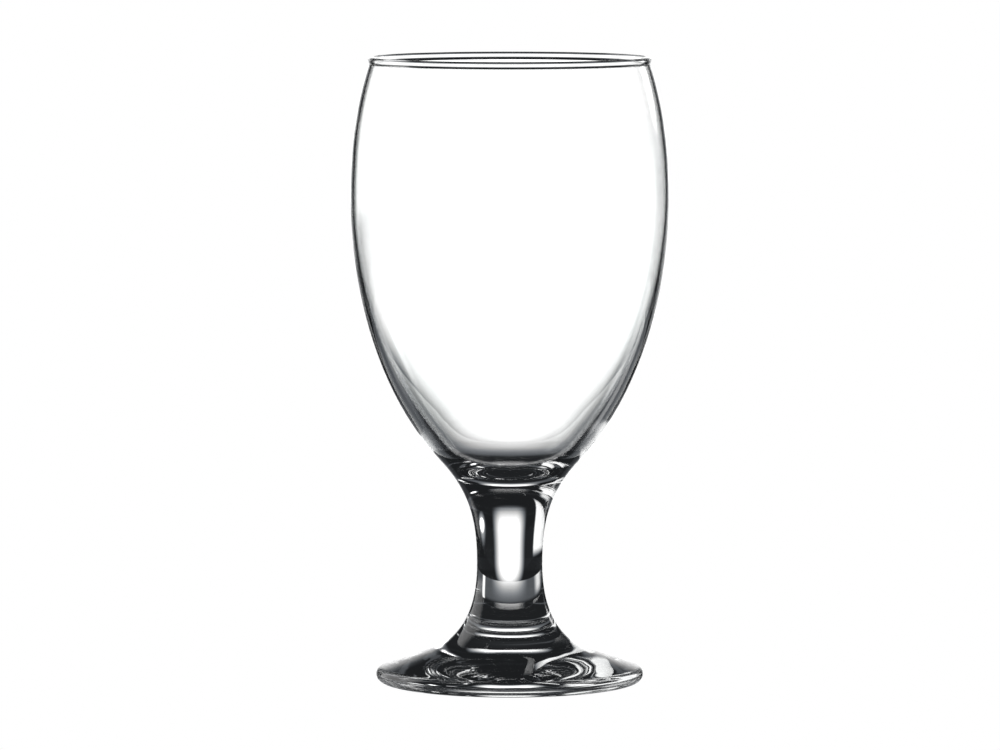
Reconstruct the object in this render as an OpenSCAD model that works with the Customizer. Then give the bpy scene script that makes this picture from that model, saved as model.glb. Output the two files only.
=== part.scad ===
// Stemmed beer glass of clear glass: a blown bowl, a solid stem and a pressed foot, fused face to face.
// Lengths are in millimetres and angles in degrees. The glass stands on z = 0, round the Z axis.

/* [Bowl] */
// Height of the whole glass, from the table to the top of the rim
glass_h = 186.5; // [176:0.1:200]
// Diameter over the rim's bead
rim_d = 84.6; // [82:0.1:87]
// Thickness of the fire-polished bead round the rim
bead_d = 2.2; // [1.7:0.1:2.4]
// Height of the lip, from the top of the bead to where the plain wall begins
lip_h = 2.8; // [2.6:0.1:4]
// How far the bead's outside stands out past the wall where the lip begins
bead_proud = 0.2; // [0:0.05:0.6]
// Lean of the wall below the lip, from the vertical
lip_lean = 17.6; // [10:0.1:24]
// Thickness of the wall, from the lip to the widest place
wall = 1.15; // [0.9:0.05:1.4]
// Diameter of the bowl where it is widest
belly_d = 95; // [90:0.5:100]
// Height of the widest place above the table
belly_z = 145.2; // [135:0.1:155]
// Diameter outside, where the bowl's side is steepest on its way in to the stem
neck_d = 41.2; // [38:0.1:44]
// Height of that place above the table
neck_z = 66.1; // [63.5:0.1:67]
// Lean of the outside there, from the vertical
neck_lean = 43.1; // [38:0.1:48]
// Thickness of the wall low down, where the inside turns in towards the floor
base_wall = 3.65; // [3.2:0.05:4.1]
// How far the cavity's floor lies below the place where the bowl's side is steepest
floor_drop = 3.6; // [2.1:0.1:5.1]

/* [Stem] */
// Diameter of the stem at its waist
waist_d = 19.6; // [16:0.1:22]
// Height of the waist above the table
waist_z = 35.4; // [32:0.1:38]

/* [Foot] */
// Diameter of the foot
foot_d = 80; // [74:0.5:90]
// Radius of the foot's rounded edge
edge_r = 2.4; // [2:0.1:2.8]
// Slope of the foot's top, down from the horizontal
foot_slope = 18.5; // [16:0.1:20]
// Diameter at which the foot's top starts to rise into the stem
hub_d = 48.4; // [44:0.1:54]
// Width of the flat ring that the glass stands on
rest_w = 2.7; // [1.5:0.1:4]
// Height of the hollow under the foot, at the middle
hollow_h = 0.95; // [0.6:0.05:1.5]
// Slope of the hollow's side where it leaves the flat ring
hollow_slope = 4; // [2:0.5:8]

/* [Hidden] */

// Each share is the length of a curve's handle, as a share of the height between the curve's two ends
upper_shares = [0.11, 0.56];
lower_shares = [0.19, 0.45];
neck_shares = [0.42, 0.4];
foot_shares = [0.51, 0.415];
floor_shares = [0.61, 1];
lip_share = 0.4;
hollow_shares = [0.2, 0.1];

// How far along the outside's curve the cavity's side follows it down from the belly, and how much of the wall's
// growth to its thickness low down is already in the handle above that place
cavity_side_share = 0.913;
growth_share = 0.386;

// How far along the neck's curve the bowl meets the stem, and along the foot's curve the stem meets the foot
bowl_joint_share = 0.45;
foot_joint_share = 0.55;

// Turns of the bead, below its middle, at which its outside and its inside run into the wall
bead_out_turn = 25;
bead_in_turn = 8;

long_steps = 20;
short_steps = 10;
lip_steps = 4;
round_steps = 96;
glass_colour = [0.86, 0.9, 0.9, 0.35];

// A point on the cubic curve with the four control points p, at t from 0 to 1
function on_curve(p, t) =
    pow(1 - t, 3) * p[0]
    + 3 * pow(1 - t, 2) * t * p[1]
    + 3 * (1 - t) * t * t * p[2]
    + pow(t, 3) * p[3];

// The points of the cubic curve p, from t = a to t = b
function curve(p, a, b, steps) =
    [for (i = [0 : steps]) on_curve(p, a + (b - a) * i / steps)];

// The points at t from 0 to 1 between each point of the list p and the next
function cut(p, t) = [for (i = [0 : len(p) - 2]) p[i] + (p[i + 1] - p[i]) * t];

// The control points of the first part of the cubic curve p, from its start to t
function first_part(p, t) = [p[0], cut(p, t)[0], cut(cut(p, t), t)[0], on_curve(p, t)];

// The points of an arc round c, from the angle a to the angle b
function arc(c, r, a, b, steps) =
    [for (i = [0 : steps]) c + r * [cos(a + (b - a) * i / steps), sin(a + (b - a) * i / steps)]];

// The same points from last to first
function flipped(points) = [for (i = [len(points) - 1 : -1 : 0]) points[i]];

// One outline from lists of points, where each list begins at the point that ends the list before it
function chain(lists) =
    [for (i = [0 : len(lists) - 1]) for (j = [min(i, 1) : len(lists[i]) - 1]) lists[i][j]];

// Every point below is [distance from the axis, height above the table]

// Where the wall's outside and inside begin, below the lip
lip_z = glass_h - lip_h;
mouth = [rim_d / 2 - bead_proud, lip_z];
mouth_in = mouth - [wall, 0];
lip_dir = [sin(lip_lean), -cos(lip_lean)];

belly = [belly_d / 2, belly_z];
belly_in = [belly_d / 2 - wall, belly_z];
upper_h = lip_z - belly_z;

// The outside between the belly and the stem's waist
neck = [neck_d / 2, neck_z];
neck_dir = [sin(neck_lean), cos(neck_lean)];
lower_h = belly_z - neck_z;
neck_h = neck_z - waist_z;
waist = [waist_d / 2, waist_z];

// The foot's rounded edge, and the straight slope that runs into it
edge = [foot_d / 2 - edge_r, edge_r];
slope_dir = [cos(foot_slope), -sin(foot_slope)];
slope_end = edge + edge_r * [sin(foot_slope), cos(foot_slope)];
slope_start = slope_end - slope_dir * (slope_end[0] - hub_d / 2) / cos(foot_slope);
foot_h = waist_z - slope_start[1];

// The control points of each curve, from the rim down
function upper_curve(start, widest) = [
    start,
    start + lip_dir * upper_shares[0] * upper_h,
    widest + [0, upper_shares[1] * upper_h],
    widest
];

lower_curve = [
    belly,
    belly - [0, lower_shares[0] * lower_h],
    neck + neck_dir * lower_shares[1] * lower_h,
    neck
];

neck_curve = [
    neck,
    neck - neck_dir * neck_shares[0] * neck_h,
    waist + [0, neck_shares[1] * neck_h],
    waist
];

foot_curve = [
    waist,
    waist - [0, foot_shares[0] * foot_h],
    slope_start - slope_dir * foot_shares[1] * foot_h,
    slope_start
];

// The cavity's side is the outside below the belly, moved inwards by the wall, which grows thicker on the way down
side = first_part(lower_curve, cavity_side_share);
side_dir = (side[2] - side[3]) / norm(side[2] - side[3]);
inwards = [-side_dir[1], side_dir[0]];
cavity_curve = [
    belly_in,
    side[1] - [wall, 0],
    side[2] + inwards * (wall + growth_share * (base_wall - wall)),
    side[3] + inwards * base_wall
];

// From there the cavity turns in towards its floor
cavity = cavity_curve[3];
cavity_dir = (cavity_curve[2] - cavity) / norm(cavity_curve[2] - cavity);
floor_z = neck_z - floor_drop;
cavity_depth = cavity[1] - floor_z;
floor_curve = [
    cavity,
    cavity - cavity_dir * floor_shares[0] * cavity_depth,
    [floor_shares[1] * cavity_depth, floor_z],
    [0, floor_z]
];

// The bead, and the two short curves that join it to the wall
bead = [rim_d / 2 - bead_d / 2, glass_h - bead_d / 2];
bead_out = bead + bead_d / 2 * [cos(bead_out_turn), -sin(bead_out_turn)];
bead_in = bead + bead_d / 2 * [-cos(bead_in_turn), -sin(bead_in_turn)];
lip_out_curve = [
    mouth,
    mouth - lip_dir * lip_share * lip_h,
    bead_out - [sin(bead_out_turn), cos(bead_out_turn)] * lip_share * bead_d,
    bead_out
];
lip_in_curve = [
    bead_in,
    bead_in + [sin(bead_in_turn), -cos(bead_in_turn)] * lip_share * bead_d,
    mouth_in - lip_dir * lip_share * lip_h,
    mouth_in
];

// The hollow under the foot
rest_in = [edge[0] - rest_w, 0];
hollow = [0, hollow_h];
hollow_curve = [
    rest_in,
    rest_in + [-cos(hollow_slope), sin(hollow_slope)] * hollow_shares[0] * rest_in[0],
    hollow + [hollow_shares[1] * rest_in[0], 0],
    hollow
];

// The flat faces where the three pieces are fused
bowl_joint = on_curve(neck_curve, bowl_joint_share);
foot_joint = on_curve(foot_curve, foot_joint_share);

module turned(points) {
    color(glass_colour)
        rotate_extrude($fn = round_steps)
            polygon(points);
}

// The bowl, with its rim, its wall and its thick base, down to the flat face on the stem
module bowl() {
    turned(chain([
        [[0, bowl_joint[1]], bowl_joint],
        flipped(curve(neck_curve, 0, bowl_joint_share, short_steps)),
        flipped(curve(lower_curve, 0, 1, long_steps)),
        flipped(curve(upper_curve(mouth, belly), 0, 1, long_steps)),
        curve(lip_out_curve, 0, 1, lip_steps),
        arc(bead, bead_d / 2, -bead_out_turn, 180 + bead_in_turn, short_steps),
        curve(lip_in_curve, 0, 1, lip_steps),
        curve(upper_curve(mouth_in, belly_in), 0, 1, long_steps),
        curve(cavity_curve, 0, 1, long_steps),
        curve(floor_curve, 0, 1, short_steps)
    ]));
}

// The solid stem, from the flat face on the foot to the flat face on the bowl
module stem() {
    turned(chain([
        [[0, foot_joint[1]], foot_joint],
        flipped(curve(foot_curve, 0, foot_joint_share, short_steps)),
        flipped(curve(neck_curve, bowl_joint_share, 1, short_steps)),
        [bowl_joint, [0, bowl_joint[1]]]
    ]));
}

// The foot, with its sloping top, its rounded edge, the flat ring it stands on and the hollow inside that
module foot() {
    turned(chain([
        [[0, foot_joint[1]], foot_joint],
        curve(foot_curve, foot_joint_share, 1, short_steps),
        [slope_start, slope_end],
        arc(edge, edge_r, 90 - foot_slope, -90, short_steps),
        [[edge[0], 0], rest_in],
        curve(hollow_curve, 0, 1, short_steps)
    ]));
}

bowl();
stem();
foot();
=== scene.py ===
# %% [markdown]
# A stemmed beer glass of clear glass, in the studio light that it was photographed in. The real glass is
# three hot-worked pieces that are fused face to face: a blown bowl, a solid stem and a pressed foot. Clear
# glass has no colour of its own to paint. All that the eye reads is what its surfaces bend and mirror, so
# two things matter here: true curves with the right thickness between them, and the light that stands round
# them.

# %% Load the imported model
import math

import bpy
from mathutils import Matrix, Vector


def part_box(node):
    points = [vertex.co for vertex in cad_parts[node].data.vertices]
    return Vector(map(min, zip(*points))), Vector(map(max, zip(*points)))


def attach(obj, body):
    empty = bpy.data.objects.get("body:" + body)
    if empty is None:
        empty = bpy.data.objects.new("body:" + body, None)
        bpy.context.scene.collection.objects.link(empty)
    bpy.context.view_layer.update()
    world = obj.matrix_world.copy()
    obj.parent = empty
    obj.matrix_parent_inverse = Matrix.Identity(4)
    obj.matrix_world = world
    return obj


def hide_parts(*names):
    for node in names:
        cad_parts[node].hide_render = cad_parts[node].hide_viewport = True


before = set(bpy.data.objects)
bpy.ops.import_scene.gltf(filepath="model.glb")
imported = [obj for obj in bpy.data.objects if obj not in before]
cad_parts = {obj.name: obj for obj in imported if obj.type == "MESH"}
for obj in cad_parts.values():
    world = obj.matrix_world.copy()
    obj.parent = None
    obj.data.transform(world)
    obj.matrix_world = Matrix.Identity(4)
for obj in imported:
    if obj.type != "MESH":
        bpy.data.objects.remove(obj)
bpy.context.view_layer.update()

bpy.ops.object.select_all(action="DESELECT")

# %% [markdown]
# Every piece of the glass is a solid of rotation, so each is one outline spun round the Z axis. An outline
# could be traced as hundreds of points, but light that passes through glass shows each flat between them. A
# cubic curve has two ends and two handles and stays smooth however finely it is cut, so the outline is a
# chain of those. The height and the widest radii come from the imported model, and the sizes between them are
# the ones that it was built with.

# %% Sizes of the outside
MM = 0.001
bowl_low, bowl_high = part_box("bowl")
foot_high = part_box("foot")[1]

glass_h = bowl_high.z
belly_r = bowl_high.x
foot_r = foot_high.x

rim_r = 42.3 * MM
bead_r = 1.1 * MM
lip_h = 2.8 * MM
mouth_r = 42.1 * MM
lip_lean = math.radians(17.6)
belly_z = 145.2 * MM
neck_r = 20.6 * MM
neck_z = 66.1 * MM
neck_lean = math.radians(43.1)
waist_r = 9.8 * MM
waist_z = 35.4 * MM
edge_r = 2.4 * MM
foot_slope = math.radians(18.5)
hub_r = 24.2 * MM
print("Height, belly and foot in mm:", [round(v / MM, 2) for v in (glass_h, 2 * belly_r, 2 * foot_r)])

# %% Points and directions in the plane of the outline


def at(r, z):
    """A point of the outline: r from the axis, z above the table."""
    return Vector((r, 0, z))


def towards(lean):
    """The direction that goes down and outwards, lean away from the vertical."""
    return at(math.sin(lean), -math.cos(lean))


up = at(0, 1)
neck_dir = at(math.sin(neck_lean), math.cos(neck_lean))
slope_dir = at(math.cos(foot_slope), -math.sin(foot_slope))
print("In the neck the outside runs up and outwards along", [round(v, 2) for v in neck_dir])

# %% [markdown]
# From the lip the wall swells to the belly and then runs in to the neck, where it leans most, and from
# there it falls to the waist of the stem and spreads into the foot. Each stretch is one cubic curve. Its
# handles point along the wall, so that the next stretch carries on with no crease, and each handle's length
# is a share of the height between the two ends, found against the outline in the photograph.

# %% The outside, from the lip down to the foot
upper_shares = (0.11, 0.56)
lower_shares = (0.19, 0.45)
neck_shares = (0.42, 0.4)
foot_shares = (0.51, 0.415)


def upper_curve(inset):
    """From the lip down to the belly, inset from the outside by the wall's thickness or by nothing."""
    mouth = at(mouth_r - inset, glass_h - lip_h)
    belly = at(belly_r - inset, belly_z)
    height = mouth.z - belly.z
    return [
        mouth,
        mouth + towards(lip_lean) * upper_shares[0] * height,
        belly + up * upper_shares[1] * height,
        belly,
    ]


lower_h = belly_z - neck_z
neck_h = neck_z - waist_z
belly = at(belly_r, belly_z)
neck = at(neck_r, neck_z)
waist = at(waist_r, waist_z)
lower_curve = [
    belly,
    belly - up * lower_shares[0] * lower_h,
    neck + neck_dir * lower_shares[1] * lower_h,
    neck,
]
neck_curve = [
    neck,
    neck - neck_dir * neck_shares[0] * neck_h,
    waist + up * neck_shares[1] * neck_h,
    waist,
]

edge = at(foot_r - edge_r, edge_r)
slope_end = edge + edge_r * at(math.sin(foot_slope), math.cos(foot_slope))
slope_start = slope_end - slope_dir * (slope_end.x - hub_r) / math.cos(foot_slope)
foot_h = waist_z - slope_start.z
foot_curve = [
    waist,
    waist - up * foot_shares[0] * foot_h,
    slope_start - slope_dir * foot_shares[1] * foot_h,
    slope_start,
]
print("The slope of the foot starts", round(slope_start.z / MM, 1), "mm above the table")

# %% [markdown]
# The inside can't be measured from the outline, but the light gives it away. The dark band down each side
# of the bowl is as wide as the wall is thick, and the bright line that hangs under the bowl like a smile is
# the cavity's floor, seen through the thick base. So the wall is thin to the belly and thickens below it.
#
# A cubic curve can be cut in two anywhere, and both halves stay cubic curves and follow the same line. The
# cavity's side is the first part of the outside below the belly, moved inwards by the wall's growing
# thickness.

# %% The cavity


def halves(curve, t):
    """The same cubic curve, cut in two at t."""
    a, b, c, d = curve
    ab, bc, cd = a.lerp(b, t), b.lerp(c, t), c.lerp(d, t)
    abc, bcd = ab.lerp(bc, t), bc.lerp(cd, t)
    middle = abc.lerp(bcd, t)
    return [a, ab, abc, middle], [middle, bcd, cd, d]


wall = 1.15 * MM
base_wall = 3.65 * MM
floor_drop = 3.6 * MM
side_share = 0.913
growth_share = 0.386
floor_shares = (0.61, 1)

side = halves(lower_curve, side_share)[0]
side_dir = (side[2] - side[3]).normalized()
inwards = at(-side_dir.z, side_dir.x)
cavity_curve = [
    side[0] - at(wall, 0),
    side[1] - at(wall, 0),
    side[2] + inwards * (wall + growth_share * (base_wall - wall)),
    side[3] + inwards * base_wall,
]

cavity = cavity_curve[3]
cavity_dir = (cavity_curve[2] - cavity).normalized()
floor_z = neck_z - floor_drop
cavity_floor = at(0, floor_z)
cavity_depth = cavity.z - floor_z
floor_curve = [
    cavity,
    cavity - cavity_dir * floor_shares[0] * cavity_depth,
    cavity_floor + at(floor_shares[1] * cavity_depth, 0),
    cavity_floor,
]
print("The base is", round((floor_z - bowl_low.z) / MM, 1), "mm thick down to the joint with the stem")

# %% [markdown]
# The rim was melted to a round bead, which stands out a hair past the wall. Under it the wall narrows back
# to its thickness over the lip's height, outside and inside.

# %% The rim


def arc(centre, radius, start, end):
    """Cubic curves for an arc, one for each quarter turn or less."""
    count = math.ceil(abs(end - start) / (math.pi / 2) - 1e-6)
    step = (end - start) / count
    reach = radius * 4 / 3 * math.tan(step / 4)
    found = []
    for i in range(count):
        a, b = start + i * step, start + (i + 1) * step
        from_a = centre + radius * at(math.cos(a), math.sin(a))
        from_b = centre + radius * at(math.cos(b), math.sin(b))
        along_a = at(-math.sin(a), math.cos(a))
        along_b = at(-math.sin(b), math.cos(b))
        found.append([from_a, from_a + reach * along_a, from_b - reach * along_b, from_b])
    return found


out_turn = math.radians(25)
in_turn = math.radians(8)
lip_share = 0.4
bead = at(rim_r - bead_r, glass_h - bead_r)
bead_out = bead + bead_r * at(math.cos(out_turn), -math.sin(out_turn))
bead_in = bead - bead_r * at(math.cos(in_turn), math.sin(in_turn))
mouth_out, mouth_in = upper_curve(0)[0], upper_curve(wall)[0]
lip_out_curve = [
    mouth_out,
    mouth_out - towards(lip_lean) * lip_share * lip_h,
    bead_out - at(math.sin(out_turn), math.cos(out_turn)) * lip_share * 2 * bead_r,
    bead_out,
]
lip_in_curve = [
    bead_in,
    bead_in + at(math.sin(in_turn), -math.cos(in_turn)) * lip_share * 2 * bead_r,
    mouth_in - towards(lip_lean) * lip_share * lip_h,
    mouth_in,
]
rim = [lip_out_curve, *arc(bead, bead_r, -out_turn, math.pi + in_turn), lip_in_curve]
print("The rim has", len(rim), "curves")

# %% [markdown]
# The foot doesn't stand on its whole underside. A pressed foot is hollowed, so that it rests on a narrow
# flat ring near its edge and doesn't rock.

# %% The hollow under the foot
rest_w = 2.7 * MM
hollow_h = 0.95 * MM
hollow_slope = math.radians(4)
hollow_shares = (0.2, 0.1)

rest_in = at(edge.x - rest_w, 0)
hollow_top = at(0, hollow_h)
hollow_curve = [
    rest_in,
    rest_in + at(-math.cos(hollow_slope), math.sin(hollow_slope)) * hollow_shares[0] * rest_in.x,
    hollow_top + at(hollow_shares[1] * rest_in.x, 0),
    hollow_top,
]
print("The resting ring is", round(2 * edge.x / MM, 1), "mm across")

# %% [markdown]
# The three pieces meet at two flat faces, one in the neck's curve and one in the foot's. Both curves are
# cut in two there, so that the outside runs on over the joint without a step.

# %% Where the pieces are fused
bowl_joint_share = 0.45
foot_joint_share = 0.55

neck_on_bowl, neck_on_stem = halves(neck_curve, bowl_joint_share)
foot_on_stem, foot_on_foot = halves(foot_curve, foot_joint_share)
bowl_joint, foot_joint = neck_on_bowl[3], foot_on_stem[3]
print("Joints in mm:", round(bowl_joint.z / MM, 2), "and", round(foot_joint.z / MM, 2))
print("In the packed model:", round(bowl_low.z / MM, 2), "and", round(foot_high.z / MM, 2))

# %% [markdown]
# A spun shape could start from a cylinder and be pulled into form ring by ring. Drawing its section and
# spinning it is closer to how the glass is turned in the making, and keeps the curves exact. The section is
# drawn as a Bezier curve, made a mesh and spun a full turn. Then the open circle at a joint is filled with
# one flat face, doubles are merged, and the faces are turned outwards.

# %% Draw a section and spin it
TURNS = 240
CURVE_STEPS = 24
CREASE = math.radians(14)
TINY = 0.001 * MM


def straight(a, b):
    """A straight line, as a cubic curve."""
    return [a, a.lerp(b, 1 / 3), a.lerp(b, 2 / 3), b]


def turned_round(curves):
    """The same run of curves from its last point to its first."""
    return [curve[::-1] for curve in curves[::-1]]


def draw_section(name, curves):
    """One open Bezier curve through a run of cubic curves, in the plane of X and Z."""
    bpy.ops.object.select_all(action="DESELECT")
    bpy.ops.curve.primitive_bezier_curve_add(location=(0, 0, 0))
    drawn = bpy.context.object
    drawn.name = name
    drawn.data.dimensions = "3D"
    drawn.data.resolution_u = CURVE_STEPS
    drawn.data.splines.clear()
    spline = drawn.data.splines.new("BEZIER")
    spline.bezier_points.add(len(curves))
    for i, knot in enumerate(spline.bezier_points):
        knot.handle_left_type = knot.handle_right_type = "FREE"
        knot.co = curves[i][0] if i < len(curves) else curves[-1][3]
        knot.handle_right = curves[i][1] if i < len(curves) else knot.co
        knot.handle_left = curves[i - 1][2] if i > 0 else knot.co
    return drawn


def spin_piece(name, curves):
    """A closed, smooth solid of rotation from its section."""
    piece = draw_section(name, curves)
    bpy.ops.object.convert(target="MESH")
    bpy.ops.object.mode_set(mode="EDIT")
    bpy.ops.mesh.select_all(action="SELECT")
    bpy.ops.mesh.spin(steps=TURNS, angle=math.tau, center=(0, 0, 0), axis=(0, 0, 1))
    bpy.ops.mesh.select_all(action="SELECT")
    bpy.ops.mesh.remove_doubles(threshold=TINY)
    bpy.ops.mesh.select_all(action="SELECT")
    bpy.ops.mesh.fill_holes(sides=0)
    bpy.ops.mesh.select_all(action="SELECT")
    bpy.ops.mesh.normals_make_consistent(inside=False)
    bpy.ops.object.mode_set(mode="OBJECT")
    bpy.ops.object.shade_smooth_by_angle(angle=CREASE)
    piece.name = piece.data.name = name
    most = max(len(face.vertices) for face in piece.data.polygons)
    print(name, len(piece.data.polygons), "faces, the largest with", most, "corners")
    return piece


def stands_for(piece, node):
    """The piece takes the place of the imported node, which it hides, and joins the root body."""
    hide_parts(node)
    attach(piece, "root")


# %% [markdown]
# The bowl is blown. Its section runs from the joint up the outside, over the bead and down the inside to
# the middle of the floor, so that wall, rim and thick base are one solid.

# %% The blown bowl
bowl = spin_piece("blown_bowl", [
    *turned_round([lower_curve, neck_on_bowl]),
    *turned_round([upper_curve(0)]),
    *rim,
    upper_curve(wall),
    cavity_curve,
    floor_curve,
])
stands_for(bowl, "bowl")

# %% [markdown]
# The stem is drawn from hot glass and is solid all through, which makes it a strong lens: it shows the
# light behind it squeezed into a bright bar between two dark sides.

# %% The solid stem
stem = spin_piece("solid_stem", turned_round([neck_on_stem, foot_on_stem]))
stands_for(stem, "stem")

# %% [markdown]
# The foot spreads from the stem down a straight slope to a rounded edge, and its section goes on under the
# edge to the resting ring and the hollow.

# %% The pressed foot
foot = spin_piece("pressed_foot", [
    foot_on_foot,
    straight(slope_start, slope_end),
    *arc(edge, edge_r, math.pi / 2 - foot_slope, -math.pi / 2),
    straight(at(edge.x, 0), rest_in),
    hollow_curve,
])
stands_for(foot, "foot")

# %% [markdown]
# A pressed foot is never quite even. It keeps the faint waves of the hot glass, and they break the light in
# it into streaks, where a perfect solid of rotation would show plain rings. A Displace modifier with a soft
# noise moves its surfaces in and out by a few hundredths of a millimetre. A vertex group keeps it off the
# joint, the edge and the resting ring, so that the foot still meets the stem and still stands flat.

# %% Waves in the foot
WAVE_H = 0.05 * MM
WAVE_W = 9 * MM
JOINT_FADE = 3 * MM
EDGE_FADE = 6 * MM

wavy = foot.vertex_groups.new(name="wavy")
for vertex in foot.data.vertices:
    r, z = math.hypot(vertex.co.x, vertex.co.y), vertex.co.z
    off_joint = (foot_joint.z - z) / JOINT_FADE
    off_edge = (edge.x - r) / EDGE_FADE
    off_ring = (rest_in.x - r) / EDGE_FADE if z <= hollow_h else 1
    wavy.add([vertex.index], max(0, min(1, off_joint, off_edge, off_ring)), "REPLACE")

noise = bpy.data.textures.new("waves", "CLOUDS")
noise.noise_scale = WAVE_W
noise.noise_depth = 1
waves = foot.modifiers.new("waves", "DISPLACE")
waves.texture = noise
waves.texture_coords = "LOCAL"
waves.vertex_group = wavy.name
waves.strength = 2 * WAVE_H
bpy.ops.object.select_all(action="DESELECT")
foot.select_set(True)
bpy.context.view_layer.objects.active = foot
bpy.ops.object.modifier_apply(modifier=waves.name)
print("The foot with its waves in mm:", [round(v / MM, 2) for v in foot.dimensions])

# %% [markdown]
# The finishes below are sums of simple shapes and soft noise. Sums read best as sums, so one small class
# stands for a socket in a node tree: Python's operators add Math nodes to it, and its node method adds any
# other kind of node.

# %% A socket that can be reckoned with


class Socket:
    """An output in a node tree, or the tree itself while it has none."""

    def __init__(self, tree, output=None):
        self.tree = tree
        self.output = output

    def node(self, kind, settings=None, values=None, output=0):
        """Adds a node: its type, then its settings, then the values or links of its sockets."""
        added = self.tree.nodes.new(kind)
        for name, value in (settings or {}).items():
            setattr(added, name, value)
        for name, value in (values or {}).items():
            if isinstance(value, Socket):
                self.tree.links.new(value.output, added.inputs[name])
            else:
                added.inputs[name].default_value = value
        return Socket(self.tree, added.outputs[output] if added.outputs else None)

    def maths(self, operation, *values):
        return self.node("ShaderNodeMath", {"operation": operation}, dict(enumerate(values)))

    def __add__(self, other):
        return self.maths("ADD", self, other)

    def __sub__(self, other):
        return self.maths("SUBTRACT", self, other)

    def __mul__(self, other):
        return self.maths("MULTIPLY", self, other)

    def __truediv__(self, other):
        return self.maths("DIVIDE", self, other)

    def __rsub__(self, other):
        return self.maths("SUBTRACT", other, self)

    def __neg__(self):
        return self.maths("MULTIPLY", self, -1)

    __radd__ = __add__
    __rmul__ = __mul__

    def soft(self, start, end):
        """0 up to start and 1 from end on, with a soft ramp between."""
        return self.node("ShaderNodeMapRange", {"interpolation_type": "SMOOTHSTEP"}, {
            "Value": self, "From Min": start, "From Max": end,
        })

    def blend(self, colour_a, colour_b):
        """The first colour where this is 0, the second where it is 1."""
        return self.node("ShaderNodeMix", {"data_type": "RGBA"}, {0: self, 6: colour_a, 7: colour_b}, 2)


def new_material(name):
    """A material with an empty node tree, and that tree."""
    material = bpy.data.materials.new(name)
    material.use_nodes = True
    material.node_tree.nodes.clear()
    return material, Socket(material.node_tree)


# %% [markdown]
# Clear glass is almost nothing but its surface. It bends light by an index of 1.52, the index of ordinary
# soda-lime glass. It isn't flawless, though. The melt carries a very faint grey-green cast that is stronger
# in one place than in the next, the fire-polished skin has a shallow waviness, and handling leaves a trace
# of haze. Each is a soft noise on the object's own coordinates, kept so weak that the glass still looks
# clean.

# %% Clear glass
clear, tree = new_material("clear_glass")
place = tree.node("ShaderNodeTexCoord", output="Object")
cast = tree.node("ShaderNodeTexNoise", {}, {"Vector": place, "Scale": 22, "Detail": 1})
haze = tree.node("ShaderNodeTexNoise", {}, {"Vector": place, "Scale": 70, "Detail": 3, "Roughness": 0.6})
skin = tree.node("ShaderNodeTexNoise", {}, {"Vector": place, "Scale": 110, "Detail": 0})
skin_bump = tree.node("ShaderNodeBump", {}, {"Strength": 0.5, "Distance": 0.02 * MM, "Height": skin})
shader = tree.node("ShaderNodeBsdfPrincipled", {}, {
    "Base Color": cast.soft(0.35, 0.65).blend((1, 1, 1, 1), (0.972, 0.988, 0.984, 1)),
    "Roughness": haze.soft(0.5, 0.8) * 0.012,
    "IOR": 1.52,
    "Transmission Weight": 1,
    "Normal": skin_bump,
})
tree.node("ShaderNodeOutputMaterial", {}, {"Surface": shader})
print("clear_glass has", len(clear.node_tree.nodes), "nodes")

# %% [markdown]
# Where two pieces are fused there is no air between them, so light goes straight across. Both level faces
# at each joint get a finish that lets everything through, and the three pieces look like the one body of
# glass that they are.

# %% The fused faces
fused, tree = new_material("fused_face")
tree.node("ShaderNodeOutputMaterial", {}, {"Surface": tree.node("ShaderNodeBsdfTransparent")})

for piece in (bowl, stem, foot):
    piece.data.materials.clear()
    piece.data.materials.append(clear)
    piece.data.materials.append(fused)
    for face in piece.data.polygons:
        at_joint = any(abs(face.center.z - joint.z) < TINY for joint in (bowl_joint, foot_joint))
        face.material_index = int(at_joint and abs(face.normal.z) > 0.999)
    print(piece.name, "has", sum(face.material_index for face in piece.data.polygons), "fused faces")

# %% [markdown]
# The photograph's view has almost no perspective, so it was taken with a long lens from about two metres
# away. The camera looks down on the glass by five degrees, which shows in how round the rim and the foot
# are.

# %% The camera
camera_data = bpy.data.cameras.new("camera")
camera_data.sensor_width = 36
camera_data.lens = 235.7
camera_data.clip_start = 0.1
camera_data.clip_end = 30
camera = bpy.data.objects.new("camera", camera_data)
bpy.context.scene.collection.objects.link(camera)
bpy.context.scene.camera = camera
camera_tilt = math.radians(4.944)
camera.location = (-2.9 * MM, -1943 * MM, 259.8 * MM)
camera.rotation_euler = (math.pi / 2 - camera_tilt, 0, 0)
print("The camera stands", round(camera.location.length, 2), "m away")

# %% [markdown]
# Glass needs something to bend. The stem is a plain lens, and it gives the studio away: a soft glow behind
# the glass, low on a dark backdrop, a tall softbox far to the left, a small lamp to the right, and the top
# of a table that ends behind the glass and mirrors all three. Each could be a lamp or a card of its own,
# but edges as soft as these are easier to paint. So they are painted on the inside of a large tent, which
# the camera doesn't see, only the glass does. The tent turns with the camera, so the glass is lit from
# behind whichever side faces the camera.

# %% The tent and its rig
TENT_R = 2.7

rig = bpy.data.objects.new("light_rig", None)
bpy.context.scene.collection.objects.link(rig)
rig.location = (0, 0, 45 * MM)
follow = rig.constraints.new("COPY_ROTATION")
follow.target = camera

bpy.ops.object.select_all(action="DESELECT")
bpy.ops.mesh.primitive_uv_sphere_add(segments=64, ring_count=32, radius=TENT_R, location=(0, 0, 0))
tent = bpy.context.object
tent.name = "light_tent"
tent.parent = rig
tent.visible_camera = False
print("The tent is", 2 * TENT_R, "m across, round a point", round(rig.location.z / MM), "mm above the table")

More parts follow.
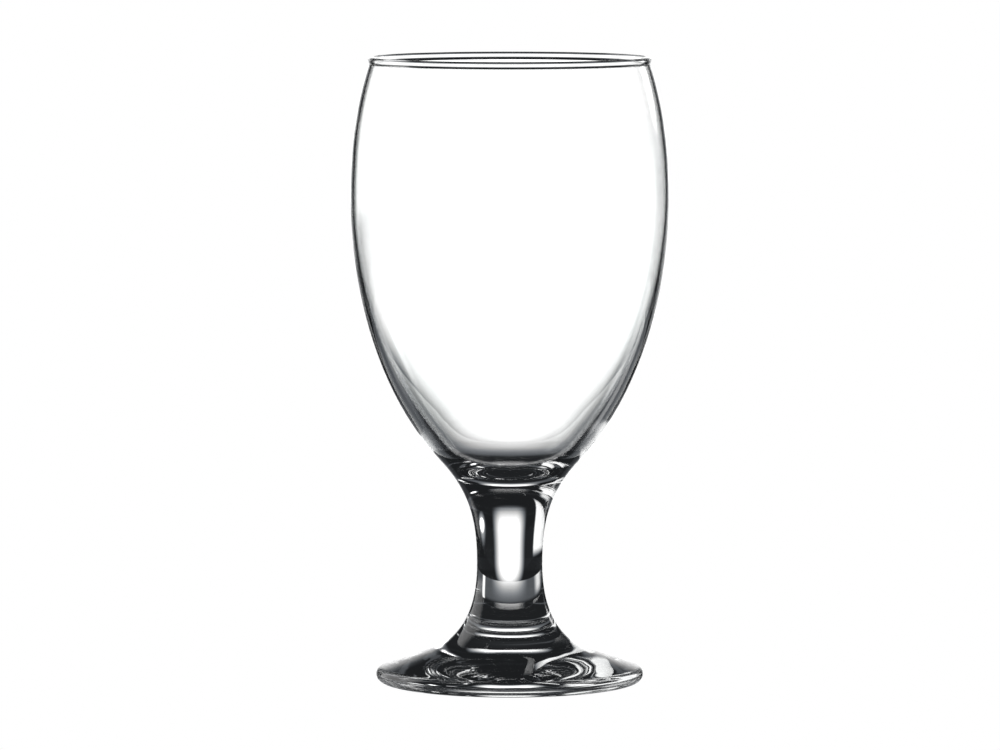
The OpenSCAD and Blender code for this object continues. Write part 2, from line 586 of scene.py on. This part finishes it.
# %% Directions on the tent, in degrees across and up
paint, tree = new_material("tent_light")
paint.cycles.emission_sampling = "NONE"
place = tree.node("ShaderNodeTexCoord", output="Object")
direction = tree.node("ShaderNodeVectorMath", {"operation": "NORMALIZE"}, {0: place})
to_right = tree.node("ShaderNodeSeparateXYZ", {}, {0: direction}, "X")
to_top = tree.node("ShaderNodeSeparateXYZ", {}, {0: direction}, "Y")
to_front = tree.node("ShaderNodeSeparateXYZ", {}, {0: direction}, "Z")
across = tree.maths("DEGREES", tree.maths("ARCTAN2", to_right, -to_front))
above = tree.maths("DEGREES", tree.maths("ARCSINE", to_top))


def away(a, b):
    """How far a point is from the middle of a light, from its distances across and up."""
    return tree.maths("SQRT", a * a + b * b)


# %% [markdown]
# The glow has straight sides, a soft top and a round foot. The softbox has sharper edges, and the lamp is a
# small core in a wider halo. In each line the first number is a strength, and a pair in soft says where an
# edge begins and where it ends, in degrees.

# %% The backdrop with its three lights
GLOW_ACROSS = 0.7
GLOW_FOOT = -0.5
LAMP_ACROSS = 41
LAMP_UP = 14

aside = across - GLOW_ACROSS
under = 1.6 * tree.maths("MAXIMUM", GLOW_FOOT - above, 0)
glow = 1.6 * (1 - above.soft(8.7, 28.5)) * (1 - away(aside, under).soft(7, 20.5))
softbox = 1.25 * (-across).soft(32.5, 36) * (1 - (-across).soft(80, 95)) * above.soft(-1.5, 2)
softbox = softbox * (1 - above.soft(38, 50))
lamp_core = 2.5 * (1 - away((across - LAMP_ACROSS) * 0.9, above - LAMP_UP).soft(3, 6.5))
lamp_halo = 0.5 * (1 - away((across - LAMP_ACROSS) * 1.2, (above - LAMP_UP) * 0.9).soft(3, 12))
backdrop = 0.013 + glow + softbox + lamp_core + lamp_halo
print("The backdrop takes", len(paint.node_tree.nodes), "nodes")

# %% [markdown]
# The table's far edge lies nine degrees below the level. Under it the glow, the softbox and the lamp come
# back as dim smears, since the table is smooth but not a mirror, and close to the glass the table is dark.

# %% The table, and both together
HORIZON = -8.7

below = HORIZON - above
table_glow = 0.95 * tree.maths("EXPONENT", -(below / 4.4)) * (1 - tree.maths("ABSOLUTE", aside).soft(4, 25))
table_softbox = 0.85 * (-across).soft(34, 46) * (1 - (-across).soft(50, 66)) * (1 - below.soft(6, 17))
table_lamp = 1.15 * across.soft(35.5, 38.5) * (1 - across.soft(42, 45)) * (1 - below.soft(17, 22))
table_near = 0.1 - 0.085 * below.soft(13, 19)
table = table_near + table_glow + table_softbox + table_lamp

on_table = below.soft(-0.2, 0.2)
strength = backdrop + on_table * (table - backdrop)
colour = strength.soft(0.02, 0.6).blend((0.93, 1, 1.09, 1), (1, 1, 1, 1))
shine = tree.node("ShaderNodeEmission", {}, {"Color": colour, "Strength": strength})
tree.node("ShaderNodeOutputMaterial", {}, {"Surface": shine})
tent.data.materials.append(paint)
print("tent_light has", len(paint.node_tree.nodes), "nodes")

# %% [markdown]
# The photograph shows the glass alone on white. A plain pale floor and a white world beyond it give the
# same ground. The glass doesn't see the floor, since its light comes from the tent, and that keeps the
# white around it clean.

# %% The pale floor and the white beyond it
bpy.ops.object.select_all(action="DESELECT")
bpy.ops.mesh.primitive_plane_add(size=8, location=(0, 0, 0))
ground = bpy.context.object
ground.name = "pale_floor"
ground.visible_glossy = ground.visible_transmission = False
pale, tree = new_material("pale_floor")
tree.node("ShaderNodeOutputMaterial", {}, {"Surface": tree.node("ShaderNodeEmission")})
ground.data.materials.append(pale)
print("The floor is", round(ground.dimensions.x), "m across")

world = bpy.data.worlds.new("studio_white")
world.use_nodes = True
world.node_tree.nodes["Background"].inputs["Color"].default_value = (1, 1, 1, 1)
bpy.context.scene.world = world

# %% [markdown]
# A path of light in the thick base of the bowl is bent and mirrored many times before it leaves, and each
# turn is a bounce. With too few of them the foot and the stem go black.

# %% How the picture is developed
scene = bpy.context.scene
scene.view_settings.view_transform = "Standard"
scene.cycles.max_bounces = 40
scene.cycles.glossy_bounces = 40
scene.cycles.transmission_bounces = 40
scene.cycles.transparent_max_bounces = 40
print("Light may bounce", scene.cycles.max_bounces, "times")
